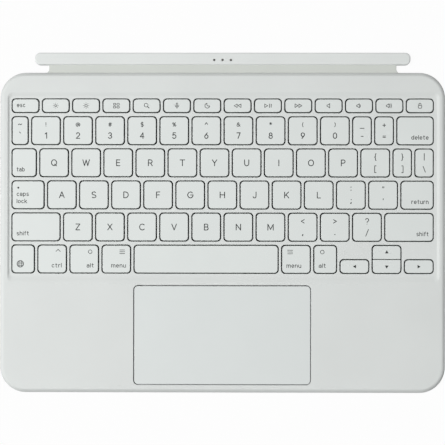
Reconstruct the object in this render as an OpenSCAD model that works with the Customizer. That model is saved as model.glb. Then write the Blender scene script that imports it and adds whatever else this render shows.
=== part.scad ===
// Keyboard case for a tablet: a thin skin-covered body with a full key bay and a click pad.
// A flexible flap joins the body to a connector bar that the tablet's edge rests on.
// Millimetres. X runs to the right, Y runs away from the user, Z is up.
// The origin is the middle of the body's underside.

/* [Body] */
// Width of the body, left to right
body_w = 249.6; // [242:0.1:262]
// Depth of the body, front to rear
body_d = 179.5; // [176:0.5:190]
// Height of the body at the palm rest
body_h = 6.4; // [6.4:0.1:8]
// Radius of the body's corners, seen from above
body_r = 14.5; // [8:0.5:20]
// Radius of the body's upper edge
upper_edge_r = 2.5; // [1.8:0.1:2.8]
// Radius of the body's lower edge
lower_edge_r = 1.5; // [1:0.1:2]
// Height of the seam between the top skin and the bottom skin
seam_z = 3.1; // [2.8:0.1:3.4]
// Thickness of the covering skin
skin_t = 0.5; // [0.4:0.05:0.6]
// Thickness of the stiffening plate under everything
plate_t = 0.8; // [0.5:0.1:0.9]

/* [Key bay] */
// Distance from one letter key to the next
key_pitch = 18; // [17:0.1:19]
// Depth of the function row's cells
fn_depth = 10; // [8:0.5:12]
// Number of keys in the function row
fn_count = 14; // [12:1:15]
// Rear edge of the function row's cells
bay_rear_y = 76.1; // [74:0.1:78]
// Width of all the cells of a row together
cells_w = 238; // [234:0.2:240]
// Width of the first key of the number row
grave_w = 11; // [9:0.1:14]
// Width of the two keys before the last one in the number row
minus_w = 12.35; // [11:0.05:15]
// Width of the tab key's cell
tab_w = 15.6; // [14:0.1:18]
// Width of the first key of the bottom row
globe_w = 14.6; // [13:0.1:17]
// Width of the bar between two key openings side by side
web_w = 1.4; // [1.2:0.1:2.2]
// Width of the bar between two rows of key openings
row_web_w = 1.7; // [1.3:0.1:2.2]
// Gap all round each keycap in its opening
key_gap = 0.6; // [0.3:0.05:0.7]
// Depth of the bay's floor below the palm rest
bay_drop = 0.8; // [0.5:0.1:1.2]
// Margin between the cells and the bay's side walls
bay_margin = 1.2; // [0.5:0.05:1.5]
// Margin between the function row's cells and the bay's rear wall
bay_rear_margin = 1.35; // [0.8:0.05:2]
// Margin between the bottom row's cells and the bay's front wall
bay_front_margin = 3.05; // [1:0.05:3.1]

/* [Keys] */
// Distance a key goes down
key_travel = 1; // [0.6:0.1:1.2]
// Height of the keycaps' tops
cap_top_z = 6.1; // [6:0.05:6.3]
// Thickness of a keycap's top
cap_t = 0.9; // [0.7:0.05:1.1]
// Thickness of a keycap's skirt
skirt_t = 0.8; // [0.6:0.05:1]
// Corner radius of a keycap
cap_r = 1.9; // [1:0.1:2.5]
// Chamfer round a keycap's top
cap_chamfer = 0.2; // [0.1:0.05:0.3]
// Gap between the up key and the down key
split_gap = 0.4; // [0.2:0.05:0.5]
// Depth that the left and right arrow keys lack of the down key's
side_arrow_cut = 0.2; // [0:0.1:0.6]

/* [Click pad] */
// Width of the pad
pad_w = 98.5; // [90:0.1:110]
// Depth of the pad
pad_d = 54.9; // [45:0.1:56]
// Rear edge of the pad
pad_rear_y = -29.95; // [-31:0.05:-29.9]
// Gap all round the pad
pad_gap = 0.5; // [0.2:0.05:0.5]
// Corner radius of the pad
pad_r = 2.2; // [1:0.1:4]
// Distance the pad goes down
pad_travel = 0.25; // [0.15:0.05:0.3]

/* [Flap and bar] */
// Width of the flap
flap_w = 195.3; // [180:0.1:200]
// Thickness of the flap
flap_t = 1; // [0.7:0.1:1.1]
// Distance from the body's rear face to the first bend line
first_bend = 0.8; // [0.7:0.05:1]
// Distance from the first bend line to the second
bend_span = 3; // [2.8:0.1:3.5]
// Height of the bend lines
bend_z = 2.6; // [2.4:0.1:2.8]
// Length of the connector bar
bar_w = 211; // [200:0.5:220]
// Depth of the connector bar, front to rear
bar_d = 6.9; // [6:0.1:8]
// Height of the connector bar
bar_h = 4; // [3.6:0.1:4.4]
// Distance from the second bend line to the bar's front face
bar_offset = 0.7; // [0.6:0.05:0.9]
// Height of the seam between the bar's housing and its cover
bar_seam_z = 2.9; // [2.6:0.1:3.1]
// Number of magnets in the bar
bar_magnet_count = 8; // [4:2:10]

/* [Contacts] */
// Distance between two contact pins
pin_pitch = 4.7; // [3:0.1:6]
// Distance from the bar's centre line to the pins
pin_offset = -0.7; // [-1:0.1:1]
// Radius of a pin's tip
pin_r = 0.575; // [0.4:0.025:0.7]
// Clearance round a pin's tip in the cover
pin_clear = 0.05; // [0.02:0.01:0.1]
// Height of the pins above the bar's top face
pin_proud = 0.35; // [0.2:0.05:0.4]

/* [Hidden] */
$fn = 48;
// Film of adhesive between a skin and what it covers
film = 0.1;
// Small overlap that makes a cut run clean past a face
past = 1;

// Heights, from the bottom up
plate_z = skin_t;
core_z = plate_z + plate_t;
backplate_t = 0.3;
membrane_z = core_z + backplate_t;
membrane_t = 0.25;
dome_z = membrane_z + membrane_t;
bay_z = body_h - bay_drop;
web_top_z = bay_z - skin_t - film;
web_t = 0.9;
web_z = web_top_z - web_t;
deck_top_z = body_h - skin_t - film;
deck_t = 1.1;
deck_z = deck_top_z - deck_t;
cap_under_z = cap_top_z - cap_t;
// A key at the end of its travel stops with its skirt this far above the membrane
stop_gap = 1.45;
cap_h = cap_top_z - dome_z - key_travel - stop_gap;
link_gap = 0.1;

// Key rows: rear edge, depth and the widths of the cells from left to right
row_rear = [for (r = [0:5]) r == 0 ? bay_rear_y : bay_rear_y - fn_depth - (r - 1) * key_pitch];
row_depth = [for (r = [0:5]) r == 0 ? fn_depth : key_pitch];
function repeated(value, n) = [for (i = [1:n]) value];
function total(v, n) = n == 0 ? 0 : v[n - 1] + total(v, n - 1);
bracket_w = (cells_w - tab_w - 11 * key_pitch) / 2;
caps_w = (cells_w - 11 * key_pitch) / 2;
shift_w = (cells_w - 10 * key_pitch) / 2;
delete_w = cells_w - grave_w - 10 * key_pitch - 2 * minus_w;
option_w = globe_w + 0.1;
space_w = cells_w - globe_w - option_w - 7 * key_pitch;
fn_w = round(100 * cells_w / fn_count) / 100;
rows = [
    repeated(fn_w, fn_count),
    concat([grave_w], repeated(key_pitch, 10), [minus_w, minus_w, delete_w]),
    concat([tab_w], repeated(key_pitch, 11), [bracket_w, bracket_w]),
    concat([caps_w], repeated(key_pitch, 11), [caps_w]),
    concat([shift_w], repeated(key_pitch, 10), [shift_w]),
    concat([globe_w], repeated(key_pitch, 3), [space_w, key_pitch, option_w], repeated(key_pitch, 3))
];
first_arrow = 7;
bay_w = cells_w + 2 * bay_margin;
bay_d = fn_depth + 5 * key_pitch + bay_rear_margin + bay_front_margin;
bay_y = bay_rear_y + bay_rear_margin - bay_d / 2;
bay_r = 2.8;
cap_inset = web_w / 2 + key_gap;
row_inset = row_web_w / 2 + key_gap;
wide_key = 24;

// A key's rectangle: centre x, centre y, width, depth, as seen from above
function cell_left(r, i) = total(rows[r], i) - cells_w / 2;
function cap_rect(r, i) = [
    cell_left(r, i) + rows[r][i] / 2,
    row_rear[r] - row_depth[r] / 2,
    rows[r][i] - 2 * cap_inset,
    row_depth[r] - 2 * row_inset
];
// The arrow keys: left, up, down and right
function arrow_x(k) = cell_left(5, first_arrow + (k == 0 ? 0 : k == 3 ? 2 : 1)) + key_pitch / 2;
arrow_w = key_pitch - 2 * cap_inset;
arrow_d = key_pitch - 2 * row_inset;
split_d = (arrow_d - split_gap) / 2;
side_arrow_d = split_d - side_arrow_cut;
last_rear = row_rear[5];
last_front = last_rear - key_pitch;
function arrow_rect(k) =
    k == 1 ? [arrow_x(k), last_rear - row_inset - split_d / 2, arrow_w, split_d] :
    k == 2 ? [arrow_x(k), last_front + row_inset + split_d / 2, arrow_w, split_d] :
    [arrow_x(k), last_front + row_inset + side_arrow_d / 2, arrow_w, side_arrow_d];
function is_arrow(r, i) = r == 5 && i >= first_arrow;
row_rects = [for (r = [0:5]) for (i = [0:len(rows[r]) - 1]) if (!is_arrow(r, i)) cap_rect(r, i)];
all_rects = concat(row_rects, [for (k = [0:3]) arrow_rect(k)]);
// The openings: the up and down keys share one
shared = [arrow_x(1), (last_rear + last_front) / 2, arrow_w, arrow_d];
opening_rects = concat(row_rects, [arrow_rect(0), shared, arrow_rect(3)]);
opening_r = cap_r + 0.3;

// Flap and bar positions
body_rear_y = body_d / 2;
first_bend_y = body_rear_y + first_bend;
second_bend_y = first_bend_y + bend_span;
bar_front_y = second_bend_y + bar_offset;
bar_y = bar_front_y + bar_d / 2;
bar_r = 2.9;
bar_edge_r = 0.8;
bar_wall = 0.9;
bar_floor = 0.8;
bar_joint = 0.05;
pin_y = bar_y + pin_offset;
pin_xs = [-pin_pitch, 0, pin_pitch];

// Click pad positions
pad_y = pad_rear_y - pad_d / 2;
pad_top_z = body_h - 0.05;
pad_t = 1.35;
circuit_t = 0.4;
carrier_t = 0.45;
carrier_lip = 1.5;
pad_z = pad_top_z - pad_t;
circuit_z = pad_z - circuit_t;
carrier_z = circuit_z - carrier_t;

// ---- Shared shapes ----

// Rectangle with round corners, centred
module round_rect(w, d, r) {
    union() {
        square([w - 2 * r, d], center = true);
        square([w, d - 2 * r], center = true);
        for (x = [-1, 1])
            for (y = [-1, 1])
                translate([x * (w / 2 - r), y * (d / 2 - r)])
                    circle(r);
    }
}

// Slab with round corners, standing on z = 0
module round_slab(w, d, r, h) {
    linear_extrude(h) round_rect(w, d, r);
}

// Half of an edge section: x from 0 to reach, rounded above and below on its outer side
module edge_section(reach, h, above, below) {
    union() {
        translate([0, below]) square([reach, h - above - below]);
        square([reach - above, h]);
        square([reach - below, h / 2]);
        intersection() {
            translate([reach - above, h - above]) circle(above);
            translate([reach - above, h - above]) square([above, above]);
        }
        intersection() {
            translate([reach - below, below]) circle(below);
            translate([reach - below, 0]) square([below, below]);
        }
    }
}

// Flat cushion: round corners in plan, a rounded upper edge and a rounded lower edge
module cushion(w, d, h, r, above, below) {
    span_x = w - 2 * r;
    span_y = d - 2 * r;
    translate([-span_x / 2, -span_y / 2, 0]) cube([span_x, span_y, h]);
    for (turn = [0, 180])
        rotate(turn) {
            translate([span_x / 2, span_y / 2, 0])
                rotate([90, 0, 0])
                    linear_extrude(span_y) edge_section(r, h, above, below);
            translate([-span_x / 2, span_y / 2, 0])
                rotate([90, 0, 90])
                    linear_extrude(span_x) edge_section(r, h, above, below);
            translate([span_x / 2, span_y / 2, 0])
                rotate_extrude(angle = 90) edge_section(r, h, above, below);
            translate([-span_x / 2, span_y / 2, 0])
                rotate(90)
                    rotate_extrude(angle = 90) edge_section(r, h, above, below);
        }
}

// The body's outer form, drawn in by a distance on every side
module body_form(inset) {
    translate([0, 0, inset])
        cushion(
            body_w - 2 * inset, body_d - 2 * inset, body_h - 2 * inset,
            body_r - inset, upper_edge_r - inset, lower_edge_r - inset
        );
}

// Everything between two heights, larger than the body
module between(low, high) {
    translate([-body_w, -body_d, low]) cube([2 * body_w, 2 * body_d, high - low]);
}

// The key openings, cut from a height upwards
module key_openings(low, high) {
    for (k = opening_rects)
        translate([k[0], k[1], low])
            round_slab(k[2] + 2 * key_gap, k[3] + 2 * key_gap, opening_r, high - low);
}

// The bay's outline, grown by a distance
module bay_block(grow, low, high) {
    translate([0, bay_y, low])
        round_slab(bay_w + 2 * grow, bay_d + 2 * grow, bay_r + grow, high - low);
}

// The pad's outline, grown by a distance
module pad_block(grow, low, high) {
    translate([0, pad_y, low])
        round_slab(pad_w + 2 * grow, pad_d + 2 * grow, pad_r + grow, high - low);
}

// Places for the posts that tie the key web to the backplate: on the bars between the rows
post_xs = [for (i = [-3:3]) i * 36];
post_ys = [for (r = [1:5]) row_rear[r]];
post_r = 0.6;
module key_posts(r, low, high) {
    for (x = post_xs)
        for (y = post_ys)
            translate([x, y, low]) cylinder(r = r, h = high - low);
}

// ---- Body, fixed pieces ----

module top_skin() {
    color([0.86, 0.88, 0.865])
        difference() {
            intersection() {
                body_form(0);
                between(seam_z, body_h + past);
            }
            difference() {
                body_form(skin_t);
                bay_block(skin_t, bay_z - skin_t, body_h + past);
            }
            bay_block(0, bay_z, body_h + past);
            key_openings(bay_z - 2 * skin_t, body_h);
            pad_block(pad_gap, seam_z, body_h + past);
        }
}

module base_skin() {
    color([0.84, 0.86, 0.845])
        difference() {
            intersection() {
                body_form(0);
                between(-past, seam_z - 0.02);
            }
            body_form(skin_t);
        }
}

module base_plate() {
    inset = lower_edge_r + 0.3;
    color([0.62, 0.64, 0.65])
        translate([0, 0, plate_z])
            round_slab(body_w - 2 * inset, body_d - 2 * inset, body_r - inset, plate_t);
}

module deck_frame() {
    rim = 2.2;
    wall = 1.2;
    bay_gap = skin_t + film;
    side_d = body_d / 2 + bay_y - bay_d / 2 - bay_gap;
    hollow_d = side_d - 2 * rim;
    hollow_y = -body_d / 2 + side_d / 2;
    hall_w = pad_w + 2 * carrier_lip + 0.8;
    side_w = (body_w - hall_w) / 2 - rim - wall;
    side_x = body_w / 2 - rim - side_w / 2;
    rear_d = body_rear_y - (bay_y + bay_d / 2 + bay_gap) - 2 * rim;
    color([0.55, 0.56, 0.57])
        difference() {
            intersection() {
                body_form(skin_t + film);
                between(core_z, body_h);
            }
            bay_block(bay_gap, 0, body_h + past);
            // hollows under the palm rest, left and right of the pad
            intersection() {
                round_slab(body_w - 2 * rim, body_d - 2 * rim, body_r - rim, deck_z);
                for (side = [-1, 1])
                    translate([side * side_x - side_w / 2, hollow_y - hollow_d / 2, 0])
                        cube([side_w, hollow_d, deck_z]);
            }
            // the hall under the pad
            translate([-hall_w / 2, hollow_y - hollow_d / 2, 0])
                cube([hall_w, hollow_d + 0.8, deck_z]);
            pad_block(pad_gap + film, 0, body_h + past);
            // hollow behind the bay, open at the rear in the middle for the flap's cable
            translate([-body_w / 2 + 14, body_rear_y - rim - rear_d, 0])
                cube([body_w - 28, rear_d, deck_z]);
            translate([-6.5, body_rear_y - rim - 1, bend_z - 0.3])
                cube([13, rim + 2, 0.6]);
        }
}

module key_web() {
    color([0.80, 0.82, 0.81])
        union() {
            difference() {
                bay_block(0.2, web_z, web_top_z);
                key_openings(web_z - past, web_top_z + past);
            }
            key_posts(post_r, core_z, web_z + 0.2);
        }
}

module key_backplate() {
    color([0.66, 0.67, 0.68])
        difference() {
            bay_block(0.2, core_z, membrane_z);
            key_posts(post_r + 0.15, 0, membrane_z + past);
        }
}

module switch_membrane() {
    color([0.30, 0.42, 0.36])
        difference() {
            bay_block(-0.4, membrane_z, dome_z);
            key_posts(post_r + 0.3, membrane_z - past, dome_z + past);
        }
}

// ---- Key mechanisms ----

// Sizes of the two crossed links under a key of width w and depth d
function link_bar(d) = d > 12 ? 0.9 : 0.45;
function outer_half(w, d) = d / 2 - skirt_t - 0.15 - (w > wide_key ? 1.3 : 0);
function inner_half(w, d) = outer_half(w, d) - link_bar(d) - link_gap;
function link_length(w) = min(w - 2 * skirt_t - 0.6, 12);
function dome_radius(w, d) =
    min(3, inner_half(w, d) - link_bar(d) - link_gap, link_length(w) / 2 - link_bar(d) - 0.2);
// Where the link pairs stand under a key: one in the middle, or two under a very wide key
function link_places(w) = w > 3 * wide_key ? [-w / 3, w / 3] : [0];

// One link: a flat frame tilted about its middle
module tilted_frame(long, half, bar, lean) {
    t = 0.5;
    low = dome_z + link_gap;
    high = cap_under_z - link_gap;
    tilt = asin((high - low - t) / long);
    translate([0, 0, (low + high) / 2])
        rotate([0, lean * tilt, 0])
            difference() {
                cube([long, 2 * half, t], center = true);
                cube([long - 2 * bar, 2 * (half - bar), 2 * t], center = true);
            }
}

module scissor_outer_links() {
    color([0.88, 0.88, 0.86])
        for (k = all_rects)
            for (x = link_places(k[2]))
                translate([k[0] + x, k[1], 0])
                    tilted_frame(link_length(k[2]), outer_half(k[2], k[3]), link_bar(k[3]), 1);
}

module scissor_inner_links() {
    color([0.80, 0.80, 0.78])
        for (k = all_rects)
            for (x = link_places(k[2]))
                translate([k[0] + x, k[1], 0])
                    tilted_frame(link_length(k[2]), inner_half(k[2], k[3]), link_bar(k[3]), -1);
}

module rubber_domes() {
    wall = 0.5;
    h = cap_under_z - link_gap - dome_z;
    color([0.90, 0.90, 0.88])
        for (k = all_rects)
            translate([k[0], k[1], dome_z])
                difference() {
                    r = dome_radius(k[2], k[3]);
                    cylinder(r1 = r, r2 = r * 0.6, h = h);
                    translate([0, 0, -0.01])
                        cylinder(r1 = r - wall, r2 = r * 0.6 - wall / 2, h = h - 0.7);
                }
}

// Wires that keep a wide key level: a long run and an arm down at each end
module stabiliser_wires() {
    wire_r = 0.3;
    run_z = cap_under_z - wire_r - link_gap;
    arm = 6;
    drop = asin((run_z - dome_z - wire_r - link_gap) / arm);
    color([0.72, 0.73, 0.74])
        for (k = all_rects)
            if (k[2] > wide_key)
                translate([k[0], k[1] - k[3] / 2 + skirt_t + 0.65, run_z])
                    union() {
                        translate([-k[2] / 2 + 3, 0, 0])
                            rotate([0, 90, 0])
                                cylinder(r = wire_r, h = k[2] - 6);
                        for (side = [-1, 1])
                            translate([side * (k[2] / 2 - 3.3), 0, 0])
                                rotate([-90 - drop, 0, 0])
                                    cylinder(r = wire_r, h = arm);
                    }
}

// ---- Keys ----

// Slab with round corners and a chamfered upper edge
module chamfered_slab(w, d, r, h, c) {
    side = h - c;
    union() {
        round_slab(w, d, r, side);
        translate([0, 0, side]) {
            rotate([90, 0, 0])
                linear_extrude(d - 2 * r, center = true)
                    polygon([[-w / 2, 0], [w / 2, 0], [w / 2 - c, c], [c - w / 2, c]]);
            rotate([90, 0, 90])
                linear_extrude(w - 2 * r, center = true)
                    polygon([[-d / 2, 0], [d / 2, 0], [d / 2 - c, c], [c - d / 2, c]]);
            for (x = [-1, 1])
                for (y = [-1, 1])
                    translate([x * (w / 2 - r), y * (d / 2 - r), 0])
                        cylinder(r1 = r, r2 = r - c, h = c);
        }
    }
}

// A keycap over the rectangle k: open below, with a thin skirt
module keycap(k) {
    inner_r = cap_r - skirt_t;
    color([0.875, 0.89, 0.88])
        translate([k[0], k[1], cap_top_z - cap_h])
            difference() {
                chamfered_slab(k[2], k[3], cap_r, cap_h, cap_chamfer);
                translate([0, 0, -past])
                    round_slab(k[2] - 2 * skirt_t, k[3] - 2 * skirt_t, inner_r, cap_h - cap_t + past);
            }
}

// The up key (side 1) or the down key (side -1): half of a square keycap, with its own wall at the split
module split_keycap(side) {
    inner_r = cap_r - skirt_t;
    inner_w = arrow_w - 2 * skirt_t;
    inner_d = arrow_d - 2 * skirt_t;
    half_gap = split_gap / 2;
    wall_gap = half_gap + skirt_t;
    color([0.875, 0.89, 0.88])
        translate([shared[0], shared[1], cap_top_z - cap_h])
            difference() {
                intersection() {
                    chamfered_slab(arrow_w, arrow_d, cap_r, cap_h, cap_chamfer);
                    translate([-arrow_w, side > 0 ? half_gap : -arrow_w - half_gap, -past])
                        cube([2 * arrow_w, arrow_w, cap_h + 2 * past]);
                }
                intersection() {
                    translate([0, 0, -past])
                        round_slab(inner_w, inner_d, inner_r, cap_h - cap_t + past);
                    translate([-arrow_w, side > 0 ? wall_gap : -arrow_w - wall_gap, -2 * past])
                        cube([2 * arrow_w, arrow_w, cap_h + 2 * past]);
                }
            }
}

// A keycap by row and place in the row
module key_at(r, i) {
    keycap(cap_rect(r, i));
}

module key_q() { key_at(2, 1); }
module key_w() { key_at(2, 2); }
module key_e() { key_at(2, 3); }
module key_r() { key_at(2, 4); }
module key_t() { key_at(2, 5); }
module key_y() { key_at(2, 6); }
module key_u() { key_at(2, 7); }
module key_i() { key_at(2, 8); }
module key_o() { key_at(2, 9); }
module key_p() { key_at(2, 10); }
module key_a() { key_at(3, 1); }
module key_s() { key_at(3, 2); }
module key_d() { key_at(3, 3); }
module key_f() { key_at(3, 4); }
module key_g() { key_at(3, 5); }
module key_h() { key_at(3, 6); }
module key_j() { key_at(3, 7); }
module key_k() { key_at(3, 8); }
module key_l() { key_at(3, 9); }
module key_z() { key_at(4, 1); }
module key_x() { key_at(4, 2); }
module key_c() { key_at(4, 3); }
module key_v() { key_at(4, 4); }
module key_b() { key_at(4, 5); }
module key_n() { key_at(4, 6); }
module key_m() { key_at(4, 7); }

module space_bar() {
    key_at(5, 4);
}

module return_key() {
    key_at(3, 12);
}

module function_keys() {
    for (i = [0:fn_count - 1]) key_at(0, i);
}

module number_keys() {
    for (i = [1:10]) key_at(1, i);
}

// Grave accent, minus, equals, brackets, backslash, semicolon, quote, comma, full stop, slash
module punctuation_keys() {
    for (i = [0, 11, 12]) key_at(1, i);
    for (i = [11, 12, 13]) key_at(2, i);
    for (i = [10, 11]) key_at(3, i);
    for (i = [8, 9, 10]) key_at(4, i);
}

// The caps lock lamp: a round window near the keycap's upper left corner
lamp_r = 0.5;
caps_rect = cap_rect(3, 0);
lamp_x = caps_rect[0] - caps_rect[2] / 2 + 3.2;
lamp_y = caps_rect[1] + caps_rect[3] / 2 - 3.6;

module caps_lamp_window() {
    color([0.06, 0.06, 0.06])
        translate([lamp_x, lamp_y, cap_under_z])
            cylinder(r = lamp_r - 0.02, h = cap_t - 0.03);
}

// Delete, tab, caps lock, both shifts and the six keys either side of the space bar
module modifier_keys() {
    key_at(1, 13);
    key_at(2, 0);
    difference() {
        key_at(3, 0);
        translate([lamp_x, lamp_y, cap_under_z - past])
            cylinder(r = lamp_r, h = cap_t + 2 * past);
    }
    key_at(4, 0);
    key_at(4, 11);
    for (i = [0, 1, 2, 3, 5, 6]) key_at(5, i);
}

module arrow_keys() {
    for (k = [0, 3]) keycap(arrow_rect(k));
    split_keycap(1);
    split_keycap(-1);
}

// ---- Click pad ----

module clickpad_plate() {
    color([0.865, 0.88, 0.87])
        translate([0, pad_y, pad_z])
            chamfered_slab(pad_w, pad_d, pad_r, pad_t, 0.15);
}

module clickpad_circuit() {
    color([0.16, 0.34, 0.24])
        pad_block(-0.6, circuit_z, pad_z);
}

// Steel tray under the circuit: its lips reach under the palm rest at the left, right and front
module clickpad_carrier() {
    color([0.66, 0.67, 0.68])
        translate([0, pad_y - carrier_lip / 2, carrier_z])
            round_slab(pad_w + 2 * carrier_lip, pad_d + carrier_lip, 2, carrier_t);
}

// Four leaf springs that hold the pad up, each with a foot on the base plate
module clickpad_springs() {
    leaf_t = 0.3;
    rise = carrier_z - link_gap / 2 - core_z;
    color([0.72, 0.73, 0.74])
        for (x = [-1, 1])
            for (y = [-1, 1])
                translate([x * pad_w * 0.38, pad_y + y * pad_d * 0.36, core_z])
                    rotate([90, 0, 0])
                        linear_extrude(4, center = true)
                            polygon([
                                [-7, 0], [-3, 0], [3, rise - leaf_t], [7, rise - leaf_t],
                                [7, rise], [3, rise], [-3, leaf_t], [-7, leaf_t]
                            ]);
}

module clickpad_switch() {
    button_h = 0.25;
    body_top = carrier_z - pad_travel - link_gap / 2 - button_h;
    color([0.25, 0.26, 0.27])
        translate([0, pad_y, 0])
            union() {
                translate([-3, -3, core_z]) cube([6, 6, body_top - core_z]);
                translate([0, 0, body_top - 0.1]) cylinder(r = 1.1, h = button_h + 0.1);
            }
}

// ---- Electronics and magnets ----

module controller_board() {
    board_t = 0.8;
    stand = 0.6;
    color([0.14, 0.36, 0.24])
        translate([-86, pad_y + 8, core_z])
            union() {
                translate([-20, -12, stand]) cube([40, 24, board_t]);
                for (x = [-17, 17])
                    for (y = [-9, 9])
                        translate([x, y, 0]) cylinder(r = 1.5, h = stand + 0.2);
                translate([-9, -5, stand + board_t - 0.1]) cube([9, 9, 1]);
                translate([6, -2, stand + board_t - 0.1]) cube([6, 4, 0.9]);
                translate([-16, 7, stand + board_t - 0.1]) cube([12, 3, 1.2]);
            }
}

// Disc magnets under the palm rest that hold the closed case to the tablet's rear panel
module closing_magnets() {
    magnet_r = 5;
    magnet_t = 1.6;
    color([0.70, 0.71, 0.72])
        for (x = [-1, 1])
            for (y = [-1, 1])
                translate([x * 112, pad_y + y * 19, deck_z - magnet_t - link_gap])
                    cylinder(r = magnet_r, h = magnet_t);
}

// ---- Flap ----

// A strip with half-round edges at both bend lines and a slot for the flat cable
module hinge_flap() {
    slot_t = 0.16;
    color([0.80, 0.815, 0.80])
        translate([0, 0, bend_z])
            difference() {
                union() {
                    translate([-flap_w / 2, first_bend_y, -flap_t / 2])
                        cube([flap_w, bend_span, flap_t]);
                    for (y = [first_bend_y, second_bend_y])
                        translate([-flap_w / 2, y, 0])
                            rotate([0, 90, 0])
                                cylinder(r = flap_t / 2, h = flap_w);
                }
                translate([-6.1, first_bend_y - past, -slot_t / 2])
                    cube([12.2, bend_span + 2 * past, slot_t]);
            }
}

module flap_cable() {
    cable_t = 0.12;
    color([0.85, 0.55, 0.20])
        translate([-6, first_bend_y - 0.4, bend_z - cable_t / 2])
            cube([12, bend_span + 0.8, cable_t]);
}

// ---- Connector bar ----

module bar_form() {
    translate([0, bar_y, 0]) cushion(bar_w, bar_d, bar_h, bar_r, bar_edge_r, bar_edge_r);
}

module bar_housing() {
    color([0.85, 0.87, 0.855])
        difference() {
            intersection() {
                bar_form();
                between(-past, bar_seam_z);
            }
            translate([0, bar_y, bar_floor])
                round_slab(bar_w - 2 * bar_wall, bar_d - 2 * bar_wall, bar_r - bar_wall, bar_h);
        }
}

module bar_cover() {
    color([0.86, 0.88, 0.865])
        difference() {
            intersection() {
                bar_form();
                between(bar_seam_z + bar_joint, bar_h + past);
            }
            for (x = pin_xs)
                translate([x, pin_y, 0]) cylinder(r = pin_r + pin_clear, h = bar_h + past);
        }
}

module bar_magnets() {
    long = 14;
    deep = 3.4;
    tall = 1.6;
    first = 20;
    each_side = bar_magnet_count / 2;
    pitch = (bar_w / 2 - first - 12) / (each_side - 1);
    color([0.70, 0.71, 0.72])
        for (side = [-1, 1])
            for (i = [0:each_side - 1])
                translate([side * (first + i * pitch) - long / 2, bar_y - deep / 2, bar_floor])
                    cube([long, deep, tall]);
}

// Block in the middle of the bar with a blind bore under each pin
bore_floor = bar_floor + 0.4;
bore_r = 0.95;
module contact_carrier() {
    color([0.20, 0.20, 0.21])
        difference() {
            translate([-8, bar_y - 2.2, bar_floor])
                cube([16, 4.4, bar_seam_z - link_gap / 2 - bar_floor]);
            for (x = pin_xs)
                translate([x, pin_y, bore_floor]) cylinder(r = bore_r, h = bar_h);
        }
}

// Heights of a pin's shoulder inside its bore
shoulder_top = bar_seam_z - 0.1;
shoulder_h = 0.45;
module contact_springs() {
    color([0.78, 0.66, 0.36])
        for (x = pin_xs)
            translate([x, pin_y, bore_floor])
                difference() {
                    cylinder(r = 0.75, h = shoulder_top - shoulder_h - bore_floor);
                    translate([0, 0, -past]) cylinder(r = 0.5, h = bar_h);
                }
}

module contact_pins() {
    tip_z = bar_h + pin_proud;
    round_h = 0.2;
    color([0.80, 0.66, 0.36])
        for (x = pin_xs)
            translate([x, pin_y, 0])
                union() {
                    translate([0, 0, shoulder_top - shoulder_h])
                        cylinder(r = bore_r - 0.1, h = shoulder_h);
                    translate([0, 0, shoulder_top - 0.1])
                        cylinder(r = pin_r, h = tip_z - round_h - shoulder_top + 0.1);
                    translate([0, 0, tip_z - round_h])
                        cylinder(r1 = pin_r, r2 = pin_r - round_h, h = round_h);
                }
}

top_skin();
base_skin();
base_plate();
deck_frame();
key_web();
key_backplate();
switch_membrane();
rubber_domes();
scissor_outer_links();
scissor_inner_links();
stabiliser_wires();
clickpad_switch();
clickpad_springs();
controller_board();
closing_magnets();
clickpad_plate();
clickpad_circuit();
clickpad_carrier();
hinge_flap();
flap_cable();
bar_housing();
bar_cover();
bar_magnets();
contact_carrier();
contact_springs();
contact_pins();
key_a();
key_b();
key_c();
key_d();
key_e();
key_f();
key_g();
key_h();
key_i();
key_j();
key_k();
key_l();
key_m();
key_n();
key_o();
key_p();
key_q();
key_r();
key_s();
key_t();
key_u();
key_v();
key_w();
key_x();
key_y();
key_z();
space_bar();
return_key();
function_keys();
number_keys();
punctuation_keys();
modifier_keys();
arrow_keys();
caps_lamp_window();
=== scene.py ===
import math

import bmesh
import bpy
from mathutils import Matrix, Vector
from mathutils.geometry import delaunay_2d_cdt


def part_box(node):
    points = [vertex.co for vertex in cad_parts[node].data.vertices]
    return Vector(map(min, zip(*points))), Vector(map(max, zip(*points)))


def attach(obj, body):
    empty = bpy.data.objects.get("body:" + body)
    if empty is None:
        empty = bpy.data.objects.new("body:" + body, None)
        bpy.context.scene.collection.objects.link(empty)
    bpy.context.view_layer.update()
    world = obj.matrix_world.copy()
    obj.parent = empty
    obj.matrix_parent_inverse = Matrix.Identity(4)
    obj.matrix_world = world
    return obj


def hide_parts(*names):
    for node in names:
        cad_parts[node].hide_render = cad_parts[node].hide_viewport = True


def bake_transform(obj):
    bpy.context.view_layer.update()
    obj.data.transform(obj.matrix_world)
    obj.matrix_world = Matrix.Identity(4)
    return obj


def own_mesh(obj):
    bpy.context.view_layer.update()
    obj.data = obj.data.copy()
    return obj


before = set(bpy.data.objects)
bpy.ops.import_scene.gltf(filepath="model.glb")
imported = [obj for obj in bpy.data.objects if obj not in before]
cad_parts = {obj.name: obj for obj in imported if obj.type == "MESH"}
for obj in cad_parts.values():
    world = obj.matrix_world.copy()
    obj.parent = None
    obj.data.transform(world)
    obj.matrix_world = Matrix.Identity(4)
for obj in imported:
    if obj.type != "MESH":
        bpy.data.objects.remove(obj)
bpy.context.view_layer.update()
scene = bpy.context.scene
MM = 0.001

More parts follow.
